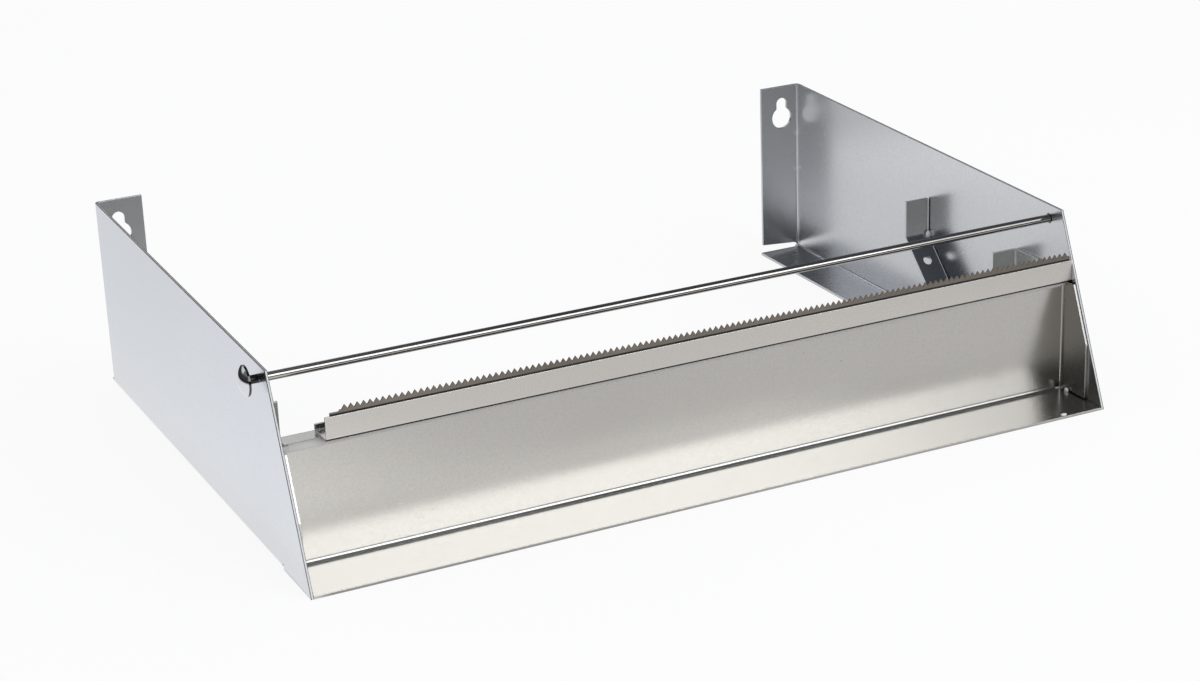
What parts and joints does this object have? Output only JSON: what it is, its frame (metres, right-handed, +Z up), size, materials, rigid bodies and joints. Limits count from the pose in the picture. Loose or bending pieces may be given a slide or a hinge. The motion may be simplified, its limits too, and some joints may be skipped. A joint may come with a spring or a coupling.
{
  "type": "wall-hung foil dispenser",
  "caption": "Wall-hung stainless steel foil dispenser with side panels, a front tray, a serrated blade, roll cradles and a draw-out guide rod.",
  "frame": {"origin": "on the wall, midway between the centres of the two keyholes' round ends", "axes": "+X along the dispenser to the right as seen from the front, +Y into the wall, +Z up"},
  "size_m": [0.4824, 0.335, 0.112],
  "materials": {
    "stainless_sheet": "satin stainless sheet with soft mirror-like reflections",
    "blade_steel": "dull brownish tempered steel, ground teeth",
    "rod_steel": "polished stainless rod",
    "knob_chrome": "polished domed head"
  },
  "bodies": {
    "root": {"left_side_panel": "stainless_sheet", "right_side_panel": "stainless_sheet", "front_panel": "stainless_sheet", "blade_holder": "stainless_sheet", "serrated_blade": "blade_steel", "left_roll_cradle": "stainless_sheet", "right_roll_cradle": "stainless_sheet", "left_roll_stop": "stainless_sheet", "right_roll_stop": "stainless_sheet"},
    "knob": {"rod_knob": "knob_chrome"},
    "rod": {"guide_rod": "rod_steel"}
  },
  "joints": [
    {"name": "rod_draw", "type": "slide", "parent": "root", "child": "knob", "axis": [-1, 0, 0], "range_m": [-0.0055, 0.45]},
    {"name": "rod_spin", "type": "hinge", "parent": "knob", "child": "rod", "pos_m": [0, -0.281, 0.0065], "axis": [1, 0, 0], "continuous": true}
  ]
}
